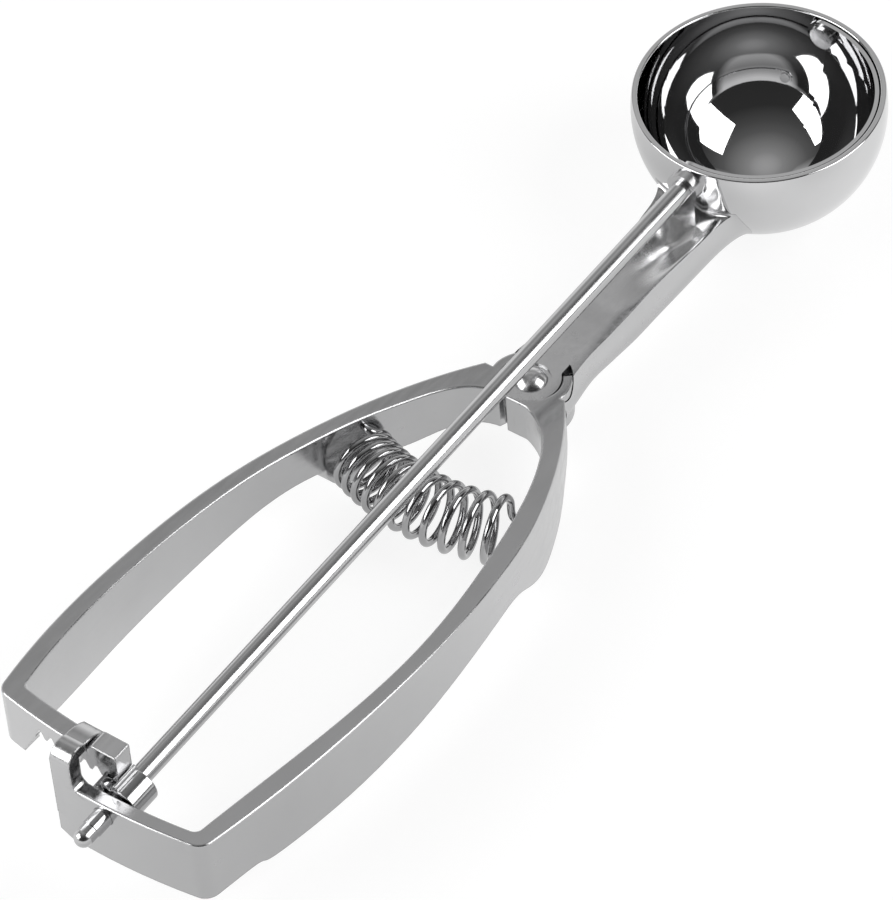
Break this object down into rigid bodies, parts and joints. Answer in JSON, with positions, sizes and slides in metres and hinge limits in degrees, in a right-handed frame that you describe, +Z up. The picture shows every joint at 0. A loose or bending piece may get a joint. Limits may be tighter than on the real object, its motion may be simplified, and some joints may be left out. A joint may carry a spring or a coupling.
{
  "type": "ice cream scoop",
  "caption": "Squeeze-handle ice cream scoop in stainless steel: a lever's rack turns a rod that sweeps a scraper round the bowl.",
  "frame": {"origin": "on the table plane under the middle of the tool's box; the table plane touches the bottom of the bowl", "axes": "+X along the scraper rod from the handle's end towards the bowl, +Z up out of the bowl's mouth, +Y to the lever arm's side"},
  "size_m": [0.2428, 0.059, 0.036],
  "materials": {
    "bowl_steel": "mirror polished stainless steel",
    "cast_steel": "tumble polished cast stainless steel",
    "strip_steel": "satin to polished stainless steel strip",
    "rod_steel": "polished drawn stainless steel rod",
    "spring_steel": "bright drawn stainless spring wire"
  },
  "bodies": {
    "handle": {"bowl": "bowl_steel", "stem": "cast_steel", "fixed_arm": "strip_steel", "pivot_rivet": "cast_steel", "scraper_pivot": "rod_steel", "spring": "spring_steel"},
    "lever": {"lever_arm": "strip_steel"},
    "scraper": {"scraper_rod": "rod_steel", "pinion": "cast_steel", "scraper_blade": "bowl_steel"}
  },
  "joints": [
    {"name": "lever_squeeze", "type": "hinge", "parent": "handle", "child": "lever", "pos_m": [0.01995, -0.00155, 0.0108], "axis": [0, 0, 1], "range_deg": [0, 5.9], "stiffness_Nm_per_rad": 5, "springref_deg": -11.46, "deforming": ["spring"]},
    {"name": "scraper_turn", "type": "hinge", "parent": "handle", "child": "scraper", "pos_m": [0.09545, -0.00355, 0.025], "axis": [1, 0, 0], "range_deg": [0, 176]}
  ],
  "couplings": [
    {"joint": "scraper_turn", "follows": "lever_squeeze", "ratio": 29.776}
  ]
}
